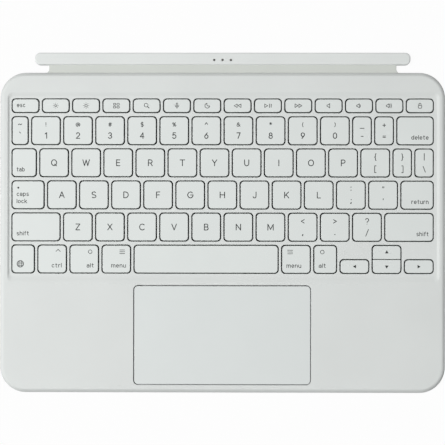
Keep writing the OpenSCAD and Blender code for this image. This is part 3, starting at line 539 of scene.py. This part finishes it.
# Each mark is its width and the strokes of a pen, on a capital height of 1
LOW = 0.7  # height of the small letters
ARCH = bow(0.25, LOW - 0.25, 0.25, 0.25, 180, 0) + [(0.5, 0)]
ESS = bow(0.34, 0.745, 0.31, 0.255, 35, 270) + bow(0.34, 0.245, 0.34, 0.245, 90, -145)
BOWL = whole(0.27, LOW / 2, 0.27, LOW / 2)
SMALL_ESS = bow(0.22, 0.525, 0.2, 0.175, 35, 270) + bow(0.22, 0.175, 0.22, 0.175, 90, -145)
SIX = (0.6, [whole(0.3, 0.32, 0.3, 0.32), [(0.46, 1), (0.2, 0.68), (0.03, 0.42)]])
LEFT_BRACE = [(0.3, 1.13), (0.19, 1.08), (0.16, 0.95), (0.14, 0.62), (0, 0.5)]
MARKS = {
    "A": (0.84, [[(0, 0), (0.42, 1), (0.84, 0)], [(0.14, 0.33), (0.7, 0.33)]]),
    "B": (0.64, [[(0, 0), (0, 1), (0.36, 1)] + bow(0.36, 0.76, 0.23, 0.24, 90, -90) + [(0, 0.52)],
                 bow(0.38, 0.26, 0.26, 0.26, 90, -90) + [(0, 0)]]),
    "C": (0.82, [bow(0.46, 0.5, 0.46, 0.5, 45, 315)]),
    "D": (0.76, [[(0, 0), (0, 1), (0.28, 1)] + bow(0.28, 0.5, 0.48, 0.5, 90, -90) + [(0, 0)]]),
    "E": (0.58, [[(0.58, 1), (0, 1), (0, 0), (0.58, 0)], [(0, 0.52), (0.52, 0.52)]]),
    "F": (0.56, [[(0.56, 1), (0, 1), (0, 0)], [(0, 0.5), (0.5, 0.5)]]),
    "G": (0.86, [bow(0.46, 0.5, 0.46, 0.5, 42, 360) + [(0.5, 0.5)]]),
    "H": (0.76, [[(0, 0), (0, 1)], [(0.76, 0), (0.76, 1)], [(0, 0.52), (0.76, 0.52)]]),
    "I": (0, [[(0, 0), (0, 1)]]),
    "J": (0.52, [[(0.52, 1)] + bow(0.26, 0.28, 0.26, 0.28, 0, -165)]),
    "K": (0.7, [[(0, 0), (0, 1)], [(0.66, 1), (0, 0.33)], [(0.24, 0.57), (0.7, 0)]]),
    "L": (0.54, [[(0, 1), (0, 0), (0.54, 0)]]),
    "M": (0.92, [[(0, 0), (0, 1), (0.46, 0.12), (0.92, 1), (0.92, 0)]]),
    "N": (0.76, [[(0, 0), (0, 1), (0.76, 0), (0.76, 1)]]),
    "O": (0.88, [whole(0.44, 0.5, 0.44, 0.5)]),
    "P": (0.64, [[(0, 0), (0, 1), (0.36, 1)] + bow(0.36, 0.73, 0.28, 0.27, 90, -90) + [(0, 0.46)]]),
    "Q": (0.88, [whole(0.44, 0.5, 0.44, 0.5), [(0.54, 0.26), (0.86, -0.04)]]),
    "R": (0.66, [[(0, 0), (0, 1), (0.36, 1)] + bow(0.36, 0.73, 0.28, 0.27, 90, -90) + [(0, 0.46)],
                 [(0.36, 0.46), (0.66, 0)]]),
    "S": (0.68, [ESS]),
    "T": (0.76, [[(0, 1), (0.76, 1)], [(0.38, 1), (0.38, 0)]]),
    "U": (0.72, [[(0, 1)] + bow(0.36, 0.36, 0.36, 0.36, 180, 360) + [(0.72, 1)]]),
    "V": (0.8, [[(0, 1), (0.4, 0), (0.8, 1)]]),
    "W": (1.12, [[(0, 1), (0.28, 0), (0.56, 0.96), (0.84, 0), (1.12, 1)]]),
    "X": (0.76, [[(0.02, 1), (0.76, 0)], [(0, 0), (0.74, 1)]]),
    "Y": (0.76, [[(0, 1), (0.38, 0.46), (0.76, 1)], [(0.38, 0.46), (0.38, 0)]]),
    "Z": (0.7, [[(0.02, 1), (0.7, 1), (0, 0), (0.7, 0)]]),
    "a": (0.5, [bow(0.26, 0.47, 0.24, 0.23, 155, 0) + [(0.5, 0)], whole(0.25, 0.2, 0.25, 0.2)]),
    "b": (0.54, [BOWL, [(0, 1), (0, 0)]]),
    "c": (0.46, [bow(0.26, LOW / 2, 0.26, LOW / 2, 48, 312)]),
    "d": (0.54, [BOWL, [(0.54, 1), (0.54, 0)]]),
    "e": (0.54, [[(0, LOW / 2)] + bow(0.27, LOW / 2, 0.27, LOW / 2, 0, 312)]),
    "f": (0.34, [bow(0.32, 0.78, 0.18, 0.22, 90, 180) + [(0.14, 0)], [(0, LOW), (0.32, LOW)]]),
    "h": (0.5, [[(0, 1), (0, 0)], ARCH]),
    "i": (0, [[(0, LOW), (0, 0)], [(0, 0.96), (0, 1)]]),
    "k": (0.48, [[(0, 1), (0, 0)], [(0.45, LOW), (0, 0.25)], [(0.16, 0.42), (0.48, 0)]]),
    "l": (0, [[(0, 1), (0, 0)]]),
    "m": (0.84, [[(0, LOW), (0, 0)], bow(0.21, LOW - 0.21, 0.21, 0.21, 180, 0) + [(0.42, 0)],
                 bow(0.63, LOW - 0.21, 0.21, 0.21, 180, 0) + [(0.84, 0)]]),
    "n": (0.5, [[(0, LOW), (0, 0)], ARCH]),
    "o": (0.54, [BOWL]),
    "p": (0.54, [BOWL, [(0, LOW), (0, -0.28)]]),
    "r": (0.3, [[(0, LOW), (0, 0)], bow(0.26, LOW - 0.27, 0.26, 0.27, 180, 75)]),
    "s": (0.44, [SMALL_ESS]),
    "t": (0.36, [[(0.13, 0.95)] + bow(0.32, 0.18, 0.19, 0.18, 180, 270), [(0, LOW), (0.36, LOW)]]),
    "u": (0.5, [[(0, LOW)] + bow(0.25, 0.25, 0.25, 0.25, 180, 360), [(0.5, LOW), (0.5, 0)]]),
    "0": (0.62, [whole(0.31, 0.5, 0.31, 0.5)]),
    "1": (0.28, [[(0, 0.78), (0.28, 1), (0.28, 0)]]),
    "2": (0.6, [bow(0.3, 0.71, 0.28, 0.29, 165, -38) + [(0, 0), (0.6, 0)]]),
    "3": (0.6, [bow(0.29, 0.75, 0.26, 0.25, 155, -90), bow(0.29, 0.26, 0.31, 0.26, 90, -155)]),
    "4": (0.66, [[(0.48, 0), (0.48, 1), (0, 0.28), (0.66, 0.28)]]),
    "5": (0.6, [[(0.54, 1), (0.1, 1), (0.05, 0.54)] + bow(0.29, 0.33, 0.31, 0.33, 118, -150)]),
    "6": SIX,
    "7": (0.58, [[(0, 1), (0.58, 1), (0.2, 0)]]),
    "8": (0.6, [whole(0.3, 0.76, 0.25, 0.24), whole(0.3, 0.27, 0.3, 0.27)]),
    "9": turned(*SIX),
    "!": (0, [[(0, 1), (0, 0.32)], [(0, 0.02), (0, 0)]]),
    "@": (1.04, [bow(0.52, 0.42, 0.52, 0.52, -50, 270), whole(0.5, 0.42, 0.2, 0.22),
                 [(0.72, 0.64), (0.74, 0.3)], bow(0.89, 0.36, 0.15, 0.16, 180, 350)]),
    "#": (0.84, [[(0.2, 0), (0.32, 1)], [(0.52, 0), (0.64, 1)],
                 [(0, 0.33), (0.78, 0.33)], [(0.06, 0.67), (0.84, 0.67)]]),
    "$": (0.68, [ESS, [(0.34, 1.16), (0.34, -0.16)]]),
    "%": (0.9, [whole(0.18, 0.78, 0.18, 0.22), whole(0.72, 0.22, 0.18, 0.22), [(0.74, 1), (0.16, 0)]]),
    "^": (0.7, [[(0, 0.5), (0.35, 1), (0.7, 0.5)]]),
    "&": (0.84, [[(0.84, 0)] + bow(0.36, 0.79, 0.2, 0.21, 205, -30)
                 + bow(0.28, 0.26, 0.28, 0.26, 125, 290) + [(0.8, 0.46)]]),
    "*": (0.56, [[(0.28, 1.05), (0.28, 0.45)], [(0.02, 0.9), (0.54, 0.6)], [(0.02, 0.6), (0.54, 0.9)]]),
    "(": (0.2, [bow(0.5, 0.45, 0.5, 0.72, 130, 230)]),
    ")": mirrored(0.2, [bow(0.5, 0.45, 0.5, 0.72, 130, 230)]),
    "~": (0.7, [[(0, 0.4)] + bow(0.2, 0.44, 0.17, 0.12, 160, 50)
                + bow(0.5, 0.56, 0.17, 0.12, 230, 340) + [(0.7, 0.6)]]),
    "`": (0.2, [[(0, 1), (0.2, 0.76)]]),
    "_": (0.85, [[(0, 0), (0.85, 0)]]),
    "-": (0.44, [[(0, 0.4), (0.44, 0.4)]]),
    "+": (0.6, [[(0.3, 0.75), (0.3, 0.15)], [(0, 0.45), (0.6, 0.45)]]),
    "=": (0.56, [[(0, 0.58), (0.56, 0.58)], [(0, 0.3), (0.56, 0.3)]]),
    "{": (0.3, [LEFT_BRACE + [(x, 1 - y) for x, y in reversed(LEFT_BRACE[:-1])]]),
    "}": mirrored(0.3, [LEFT_BRACE + [(x, 1 - y) for x, y in reversed(LEFT_BRACE[:-1])]]),
    "[": (0.26, [[(0.26, 1.13), (0, 1.13), (0, -0.13), (0.26, -0.13)]]),
    "]": mirrored(0.26, [[(0.26, 1.13), (0, 1.13), (0, -0.13), (0.26, -0.13)]]),
    "|": (0, [[(0, 1.15), (0, -0.15)]]),
    "\\": (0.46, [[(0, 1.1), (0.46, -0.05)]]),
    ":": (0, [[(0, LOW), (0, LOW - 0.02)], [(0, 0.02), (0, 0)]]),
    ";": (0.08, [[(0.08, LOW), (0.08, LOW - 0.02)], [(0.08, 0.02), (0, -0.2)]]),
    '"': (0.26, [[(0, 1), (0, 0.74)], [(0.26, 1), (0.26, 0.74)]]),
    "'": (0.06, [[(0.06, 1), (0, 0.74)]]),
    "<": (0.62, [[(0.62, 0.8), (0, 0.45), (0.62, 0.1)]]),
    ">": (0.62, [[(0, 0.8), (0.62, 0.45), (0, 0.1)]]),
    ",": (0.08, [[(0.08, 0.04), (0, -0.2)]]),
    ".": (0, [[(0, 0.02), (0, 0)]]),
    "?": (0.54, [bow(0.27, 0.73, 0.27, 0.27, 165, -45) + [(0.27, 0.42), (0.27, 0.3)],
                 [(0.27, 0.02), (0.27, 0)]]),
    "/": (0.46, [[(0, -0.08), (0.46, 1.08)]]),
}
SPACING = 0.3  # between two letters' strokes, on a capital height of 1


def mark(node):
    """Start another mark, clear of the marks before it."""
    ink.setdefault(node, []).append([])


def area(node, points):
    """Ink inside an outline, in the mark begun last."""
    turn = sum(p[0] * q[1] - q[0] * p[1] for p, q in zip(points, points[1:] + points[:1]))
    ink[node][-1].append(points if turn > 0 else points[::-1])


def heading(p, q):
    """The direction from one point to another."""
    return math.atan2(q[1] - p[1], q[0] - p[0])


def turning(p, q, r):
    """How far a line through three points turns to the left at the middle one."""
    return (heading(q, r) - heading(p, q) + math.pi) % (2 * math.pi) - math.pi


def strip(node, points, w):
    """Ink along a smooth line, with a dot of the pen at both ends."""
    left, right = [], []
    for i, (x, y) in enumerate(points):
        before, after = points[max(i - 1, 0)], points[min(i + 1, len(points) - 1)]
        bend = turning(before, (x, y), after) if 0 < i < len(points) - 1 else 0.0
        reach = w / 2 / math.cos(bend / 2)
        across = heading(before, after) + math.pi / 2
        left.append((x + reach * math.cos(across), y + reach * math.sin(across)))
        right.append((x - reach * math.cos(across), y - reach * math.sin(across)))
    area(node, left + right[::-1])
    for x, y in (points[0], points[-1]):
        angles = [math.radians(10 + 40 * k) for k in range(9)]
        area(node, [(x + 0.51 * w * math.cos(a), y + 0.51 * w * math.sin(a)) for a in angles])


def pen(node, points, w):
    """Ink along a line, stroke by stroke between its corners."""
    points = [points[0]] + [q for p, q in zip(points, points[1:]) if math.dist(p, q) > 0.02]
    run = [points[0]]
    for i, p in enumerate(points[1:-1], 1):
        run.append(p)
        if abs(turning(points[i - 1], p, points[i + 1])) > 0.6 or len(run) > 12:
            strip(node, run, w)
            run = [p]
    strip(node, [*run, points[-1]], w)


def write(node, text, x, y, cap, w, side=0, width=None, middle=False):
    """Text on baseline y, or with its middle there, that starts (-1), is centred (0) or ends (1) at x."""
    k = cap - w
    wide = sum(MARKS[c][0] for c in text) + SPACING * (len(text) - 1)
    across = k if width is None else (width - w) / wide
    left = x - (wide * across + w) * (side + 1) / 2 + w / 2
    base = y + w / 2
    if middle:
        heights = [p[1] for c in text for s in MARKS[c][1] for p in s]
        base = y - (min(heights) + max(heights)) / 2 * k
    for c in text:
        mark(node)
        for points in MARKS[c][1]:
            pen(node, [(left + px * across, base + py * k) for px, py in points], w)
        left += (MARKS[c][0] + SPACING) * across


def ink_mesh(marks):
    """Each mark as one closed solid over the ground that its outlines cover, however they overlap."""
    bm = bmesh.new()
    for outlines in marks:
        ox, oy = outlines[0][0]
        flat, faces = [], []
        for points in outlines:
            faces.append(list(range(len(flat), len(flat) + len(points))))
            flat += [Vector((x - ox, y - oy)) for x, y in points]
        verts, edges, faces, vert_ids, edge_ids, owners = delaunay_2d_cdt(flat, [], faces, 0, 1e-5)
        covered = [list(f) for f, outline in zip(faces, owners) if outline]
        low, top = {}, {}
        for v in sorted({v for f in covered for v in f}):
            x, y = (verts[v].x + ox) * MM, (verts[v].y + oy) * MM
            low[v], top[v] = bm.verts.new((x, y, INK_LOW * MM)), bm.verts.new((x, y, INK_TOP * MM))
        sides = {(a, b) for f in covered for a, b in zip(f, f[1:] + f[:1])}
        for f in covered:
            bm.faces.new([top[v] for v in f])
            bm.faces.new([low[v] for v in reversed(f)])
        for a, b in sorted(sides):
            if (b, a) not in sides:
                bm.faces.new([top[a], low[a], low[b], top[b]])
    return bm


def loop(node, points, w):
    """Ink round a closed outline."""
    pen(node, [*points, points[0]], w)


def circle(node, cx, cy, r, w):
    """A ring with outer radius r."""
    mark(node)
    pen(node, whole(cx, cy, r - w / 2, r - w / 2), w)


def triangle(node, x, y, w, h, side):
    """The outline of a triangle that points left (-1) or right (1)."""
    mark(node)
    dx, dy = w / 2 - FINE / 2, h / 2 - FINE / 2
    loop(node, [(x - side * dx, y - dy), (x + side * dx, y), (x - side * dx, y + dy)], FINE)


def sun(node, x, y, r, reach, ray):
    """A ring with eight short rays."""
    circle(node, x, y, r, FINE)
    for k in range(8):
        c, s = math.cos(math.pi * k / 4), math.sin(math.pi * k / 4)
        mark(node)
        pen(node, [(x + c * (reach - ray), y + s * (reach - ray)), (x + c * reach, y + s * reach)], 0.28)


def speaker(node, x, y, waves):
    """A horn that opens to the right, with its sound waves."""
    mark(node)
    left = x - 1.0 - 0.4 * waves
    loop(node, [(left, y + 0.35), (left, y - 0.35), (left + 0.45, y - 0.4), (left + 1.5, y - 1.15),
                (left + 1.5, y + 1.15), (left + 0.45, y + 0.4)], FINE)
    for k in range(waves):
        pen(node, bow(left + 1.1, y, 1.05 + 0.75 * k, 1.05 + 0.75 * k, -40, 40), FINE)


def word(r, i, text, side, width, lift=0.0):
    """A word at the front corner of a key, on its left (-1) or right (1)."""
    cx, cy, w, d = cap_rect(r, i)
    x, y = cx + side * (w / 2 - WORD_EDGE), cy - d / 2 + WORD_BASE + lift
    write(node_of(r, i), text, x, y, WORD, WORD_PEN, side, width)


F = "function_keys"
fx, fy = [cap_rect(0, i)[0] for i in range(14)], cap_rect(0, 0)[1]
write(F, "esc", fx[0] - cap_rect(0, 0)[2] / 2 + WORD_EDGE, fy + 0.05, WORD, WORD_PEN, -1, 4.8, middle=True)
sun(F, fx[1], fy, 0.72, 1.45, 0.2)
sun(F, fx[2], fy, 0.85, 1.6, 0.3)
for x in (fx[3] - 0.98, fx[3] + 0.98):
    for y in (fy - 0.82, fy + 0.82):
        mark(F)
        loop(F, rounded_rect(1.3, 1.05, 0.35, x, y, 3), FINE)
circle(F, fx[4] - 0.3, fy + 0.3, 1.2, FINE)
pen(F, [(fx[4] + 0.5, fy - 0.5), (fx[4] + 1.35, fy - 1.35)], 0.4)
mark(F)
loop(F, bow(fx[5], fy + 1.2, 0.34, 0.36, 0, 180) + bow(fx[5], fy, 0.34, 0.36, 180, 360), FINE)
mark(F)
pen(F, bow(fx[5], fy + 0.25, 1.05, 1.1, 180, 360), FINE)
pen(F, [(fx[5], fy - 0.85), (fx[5], fy - 1.55)], FINE)
mark(F)
loop(F, bow(fx[6], fy, 1.35, 1.35, 98, 352) + bow(fx[6] + 0.75, fy + 0.75, 1.0, 1.0, 295, 155), FINE)
for x in (fx[7] - 1.12, fx[7] + 1.05):
    triangle(F, x, fy, 2.0, 2.3, -1)
triangle(F, fx[8] - 1.0, fy, 2.0, 2.3, 1)
for x in (fx[8] + 0.8, fx[8] + 1.75):
    mark(F)
    pen(F, [(x, fy - 0.95), (x, fy + 0.95)], 0.36)
for x in (fx[9] - 1.05, fx[9] + 1.12):
    triangle(F, x, fy, 2.0, 2.3, 1)
for waves in range(3):
    speaker(F, fx[10 + waves], fy, waves)
mark(F)
loop(F, rounded_rect(1.9, 1.6, 0.45, fx[13], fy - 0.55, 3), FINE)
shackle = bow(fx[13], fy + 0.8, 0.6, 0.65, 180, 0)
pen(F, [(fx[13] - 0.6, fy + 0.3), *shackle, (fx[13] + 0.6, fy + 0.3)], FINE)

DIGIT_CAP, SHIFTED_CAP = 3.6, 2.45
DIGIT_Y, SHIFTED_Y = -4.55, 2.25  # baselines from a key's middle
for i, (shifted, plain) in enumerate(zip("!@#$%^&*()", "1234567890")):
    x, y = cap_rect(1, 1 + i)[:2]
    write("number_keys", plain, x, y + DIGIT_Y, DIGIT_CAP, PEN)
    write("number_keys", shifted, x, y + SHIFTED_Y, SHIFTED_CAP, SMALL_PEN)
PUNCTUATION = {  # key: shifted mark and the height of its middle, plain mark and its middle, capital height
    (1, 0): ("~", 3.5, "`", -1.1, 3.0),
    (1, 11): ("_", 1.4, "-", -3.1, 3.0),
    (1, 12): ("+", 3.1, "=", -3.3, 3.0),
    (2, 11): ("{", 3.3, "[", -3.5, 3.4),
    (2, 12): ("}", 3.3, "]", -3.5, 3.4),
    (2, 13): ("|", 3.4, "\\", -3.5, 3.2),
    (3, 10): (":", 3.6, ";", -3.6, 3.0),
    (3, 11): ('"', 4.4, "'", -2.3, 3.0),
    (4, 8): ("<", 3.3, ",", -4.4, 3.2),
    (4, 9): (">", 3.3, ".", -4.1, 3.2),
    (4, 10): ("?", 3.3, "/", -3.1, 3.6),
}
for key, (shifted, up, plain, down, cap) in PUNCTUATION.items():
    x, y = cap_rect(*key)[:2]
    for text, middle in ((shifted, up), (plain, down)):
        write("punctuation_keys", text, x, y + middle, cap, 0.56 if text in ":;.," else 0.4, middle=True)
LETTER_CAP = 3.75
for (r, i), c in LETTERS.items():
    x, y = cap_rect(r, i)[:2]
    write("key_" + c, c.upper(), x, y - LETTER_CAP / 2, LETTER_CAP, PEN)

word(1, 13, "delete", 1, 9.7)
word(2, 0, "tab", -1, 4.5)
word(3, 0, "caps", -1, 6.8, 4.25)
word(3, 0, "lock", -1, 5.8, 0.2)
word(3, 12, "return", 1, 9.6)
word(4, 0, "shift", -1, 6.9, 0.15)
word(4, 11, "shift", 1, 6.8)
word(5, 1, "ctrl", 1, 5.6, 0.2)
word(5, 2, "alt", 1, 4.0, 0.2)
word(5, 3, "menu", 1, 8.2, 0.2)
word(5, 5, "menu", -1, 8.2, 0.2)
word(5, 6, "alt", -1, 4.0, 0.2)


def mark_place(i, side):
    """Where a bottom-row key's small mark stands, near its rear corner."""
    cx, cy, w, d = cap_rect(5, i)
    return cx + side * (w / 2 - 4.35), cy + d / 2 - 3.45


M = "modifier_keys"
x, y = mark_place(1, 1)
mark(M)
pen(M, [(x - 1.25, y + 0.1), (x, y + 1.3), (x + 1.25, y + 0.1)], FINE)
for i, side in ((2, 1), (6, -1)):
    circle(M, *mark_place(i, side), 1.2, FINE)
for i, side in ((3, 1), (5, -1)):
    x, y = mark_place(i, side)
    for dy in (-1.0, 0.0, 1.0):
        mark(M)
        pen(M, [(x - 1.4, y + dy), (x + 1.4, y + dy)], FINE)
globe_x, globe_y = cap_rect(5, 0)[0] - cap_rect(5, 0)[2] / 2 + 4.45, arrow_rect(2)[1] + 1.15
circle(M, globe_x, globe_y, 2.0, 0.36)
pen(M, whole(globe_x, globe_y, 0.85, 1.8), 0.28)
for dy, reach in ((-0.9, 1.5), (0.0, 1.8), (0.9, 1.5)):
    pen(M, [(globe_x - reach, globe_y + dy), (globe_x + reach, globe_y + dy)], 0.28)
for k, (dx, dy) in enumerate(((-1, 0), (0, 1), (0, -1), (1, 0))):
    x, y = arrow_rect(k)[:2]
    y += 0.35 * dy
    mark("arrow_keys")
    tip, back = (x + dx * 0.9, y + dy * 0.9), (x - dx * 0.8, y - dy * 0.8)
    area("arrow_keys", [tip, (back[0] - dy, back[1] + dx), (back[0] + dy, back[1] - dx)])
for node, marks in ink.items():
    piece("legend_" + node, ink_mesh(marks), legend_ink, node)

lamp_low, lamp_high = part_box("caps_lamp_window")
lamp_at = [(lamp_low[k] + lamp_high[k]) / 2 / MM for k in (0, 1)]
bm = bmesh.new()
steps = ((0.58, CAP_UNDER + 0.1), (0.58, CAP_TOP), (0.55, CAP_TOP + 0.02), (0.4, CAP_TOP + 0.03))
rings = [ring(bm, bow(*lamp_at, r, r, 0, 345), z) for r, z in steps]
loft(bm, rings)
bm.faces.new(rings[-1])
bm.faces.new(list(reversed(rings[0])))
lamp_window = piece("lamp_window", bm, lamp_lens, M)
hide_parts("caps_lamp_window")

# ---------------------------------------------------------------- what gives way under the keys and the pad
UNDER = [(cap_rect(r, i), node_of(r, i)) for r, i in ALL_CAPS]
UNDER += [(rect, "arrow_keys") for rect in (arrow_rect(0), SHARED, arrow_rect(3))]


def key_over(x, y):
    """The node of the key whose caps lie over a place."""
    for (cx, cy, w, d), node in UNDER:
        if abs(x - cx) <= w / 2 and abs(y - cy) <= d / 2:
            return node
    raise ValueError(f"no key over {x:.1f}, {y:.1f}")


def yielding(cad_name, name, mat, over):
    """A CAD node's separate solids as pieces, one for each part that comes down on them."""
    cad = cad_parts[cad_name]
    places = [cad.matrix_world @ v.co for v in cad.data.vertices]
    groups = {}
    for f in cad.data.polygons:
        corners = [places[v] for v in f.vertices]
        middle = sum(corners, Vector()) / len(corners) / MM
        groups.setdefault(over(middle.x, middle.y), []).append(f)
    for part, faces in groups.items():
        bm = bmesh.new()
        corners = {v: bm.verts.new(places[v]) for v in sorted({v for f in faces for v in f.vertices})}
        for f in faces:
            bm.faces.new([corners[v] for v in f.vertices])
        bmesh.ops.remove_doubles(bm, verts=bm.verts, dist=0.0001 * MM)
        o = piece(f"{name}_{part}", bm, mat, "keyboard_base")
        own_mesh(o)
        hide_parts(cad_name)


for cad_name, name, mat, slot in (
    ("rubber_domes", "dome", rubber, "dome"),
    ("scissor_outer_links", "outer_link", link_plastic, "link"),
    ("scissor_inner_links", "inner_link", link_plastic, "link"),
    ("stabiliser_wires", "wire", steel, "steel"),
):
    yielding(cad_name, name, mat, key_over)
yielding(
    "clickpad_springs", "spring", steel, lambda x, y: "clickpad"
)

# ---------------------------------------------------------------- click pad
bm = bmesh.new()
rings = [ring(bm, rounded_rect(PAD_W, PAD_D, PAD_R, 0, PAD_Y), PAD_LOW)]
PAD_EDGE = 0.2
for drawn, dropped in reversed(quarter(5)):
    g = PAD_EDGE * drawn
    outline = rounded_rect(PAD_W - 2 * g, PAD_D - 2 * g, PAD_R - g, 0, PAD_Y)
    rings.append(ring(bm, outline, PAD_TOP - PAD_EDGE * dropped))
loft(bm, rings)
bm.faces.new(list(reversed(rings[0])))
bm.faces.new(rings[-1])
pad = piece("pad_top", bm, pad_glass, "clickpad")
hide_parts("clickpad_plate")


# ---------------------------------------------------------------- connector bar
def bar_outline(inset):
    return rounded_rect(BAR_W - 2 * inset, BAR_D - 2 * inset, BAR_R - inset, 0, BAR_Y, 12)


bm = bmesh.new()
rings = [ring(bm, bar_outline(BAR_EDGE * drawn), BAR_EDGE * dropped) for drawn, dropped in quarter(6)]
rings.append(ring(bm, bar_outline(0), BAR_SEAM - 0.08))
rings.append(ring(bm, bar_outline(0.07), BAR_SEAM))
loft(bm, rings)
bm.faces.new(list(reversed(rings[0])))
bar_lower = piece("bar_lower", bm, bar_skin, "connector_bar", wall=0.5)
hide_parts("bar_housing")

bm = bmesh.new()
rings = [ring(bm, bar_outline(0.07), BAR_SEAM + 0.05), ring(bm, bar_outline(0), BAR_SEAM + 0.13)]
for drawn, dropped in reversed(quarter(6)):
    rings.append(ring(bm, bar_outline(BAR_EDGE * drawn), BAR_H - BAR_EDGE * dropped))
loft(bm, rings)
holes = []
for x in PIN_XS:
    steps = [(wider, BAR_H - down) for wider, down in ((0.12, 0), (0.06, 0.02), (0.02, 0.06), (0, 0.12))]
    steps.append((0, BAR_SEAM + 0.4))
    hole = [ring(bm, bow(x, PIN_Y, PIN_HOLE + g, PIN_HOLE + g, 0, 345), z) for g, z in steps]
    loft(bm, hole)
    holes.append(hole[0])
fill_flat(bm, [rings[-1], *holes])
bar_upper = piece("bar_upper", bm, bar_skin, "connector_bar", wall=0.25)
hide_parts("bar_cover")


# ---------------------------------------------------------------- flap: one strip, in halves that meet midway
FLAP_STEP, FLAP_EDGE = 0.12, 0.3  # distance between sections, and radius of the edges
FLARE, FLARE_Y, FLARE_D = 1.3, 89.75, 2.2  # the strip's ends widen by FLARE, at FLARE_Y, over FLARE_D


def flap_half(name, y0, y1):
    """A closed strip from y0 to y1."""
    bm = bmesh.new()
    steps = int(round((y1 - y0) / FLAP_STEP))
    half_t, e = FLAP_T / 2, FLAP_EDGE
    sections = []
    for i in range(steps + 1):
        y = y0 + (y1 - y0) * i / steps
        flare = min(1.0, max(0.0, 1 - (y - FLARE_Y) / FLARE_D))
        half_w = FLAP_W / 2 + FLARE * flare**2
        angles = (0, 0.39, 0.79, 1.18, 1.57)
        arcs = [(half_w - e + e * math.sin(a), half_t - e + e * math.cos(a)) for a in angles]
        right = arcs + [(x, -z) for x, z in reversed(arcs)]
        outline = right + [(-x, z) for x, z in reversed(right)]
        sections.append([bm.verts.new((x * MM, y * MM, (BEND_Z + z) * MM)) for x, z in outline])
    loft(bm, sections)
    bm.faces.new(sections[0])
    bm.faces.new(list(reversed(sections[-1])))
    o = piece(name, bm, shaded_flap_skin)
    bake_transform(o)
    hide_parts("hinge_flap")


MID = (BEND_1 + BEND_2) / 2
flap_half("flap_front", 89.45, MID)
flap_half("flap_rear", MID, 94.75)

# ---------------------------------------------------------------- floor, background and lamp
FLOOR, FLOOR_Z, FLOOR_TONE = 6, -0.00002, 0.6  # half its width and its height in metres, and its grey
FLOOR_GLOW = 0.96  # share of plain white that the camera sees; the rest is the floor with its shadow
SKY_LOW, SKY_HIGH = 0.1, 0.38  # light from the horizon and from overhead
LAMP_SIZE, LAMP_WATTS = 1.0, 58.0
floor_mesh = bpy.data.meshes.new("floor")
corners = [(-FLOOR, -FLOOR, 0), (FLOOR, -FLOOR, 0), (FLOOR, FLOOR, 0), (-FLOOR, FLOOR, 0)]
floor_mesh.from_pydata(corners, [], [(0, 1, 2, 3)])
floor = bpy.data.objects.new("floor", floor_mesh)
scene.collection.objects.link(floor)
floor.location.z = FLOOR_Z
m, n, links, p = material("floor")
p.inputs["Base Color"].default_value = (FLOOR_TONE, FLOOR_TONE, FLOOR_TONE, 1)
p.inputs["Roughness"].default_value = 0.9
p.inputs["Specular IOR Level"].default_value = 0.1
glow = n.new("ShaderNodeEmission")
glow.inputs["Color"].default_value = (1, 1, 1, 1)
glow.inputs["Strength"].default_value = 1.0
path = n.new("ShaderNodeLightPath")
share = n.new("ShaderNodeMath")
share.operation = "MULTIPLY"
share.inputs[1].default_value = FLOOR_GLOW
mixed = n.new("ShaderNodeMixShader")
links.new(path.outputs["Is Camera Ray"], share.inputs[0])
links.new(share.outputs[0], mixed.inputs["Fac"])
links.new(p.outputs["BSDF"], mixed.inputs[1])
links.new(glow.outputs["Emission"], mixed.inputs[2])
links.new(mixed.outputs["Shader"], n["Material Output"].inputs["Surface"])
floor_mesh.materials.append(m)

world = bpy.data.worlds.new("world")
scene.world = world
world.use_nodes = True
n, links = world.node_tree.nodes, world.node_tree.links
background = n["Background"]
background.inputs["Color"].default_value = (1, 1, 1, 1)
path = n.new("ShaderNodeLightPath")
height = n.new("ShaderNodeSeparateXYZ")
links.new(n.new("ShaderNodeTexCoord").outputs["Generated"], height.inputs["Vector"])
sky = n.new("ShaderNodeMapRange")  # brighter overhead than near the horizon
sky.inputs["To Min"].default_value = SKY_LOW
sky.inputs["To Max"].default_value = SKY_HIGH
links.new(height.outputs["Z"], sky.inputs["Value"])
level = n.new("ShaderNodeMapRange")
level.inputs["To Max"].default_value = 1.0
links.new(path.outputs["Is Camera Ray"], level.inputs["Value"])
links.new(sky.outputs["Result"], level.inputs["To Min"])
links.new(level.outputs["Result"], background.inputs["Strength"])

light = bpy.data.lights.new("lamp_left", "AREA")
light.shape = "SQUARE"
light.size = LAMP_SIZE
light.energy = LAMP_WATTS
lamp = bpy.data.objects.new("lamp_left", light)
scene.collection.objects.link(lamp)
lamp.location = (-1.35, 0.0, 2.2)
lamp.rotation_mode = "QUATERNION"
lamp.rotation_quaternion = (lamp.location - Vector((0, 0.02, 0))).to_track_quat("Z", "Y")
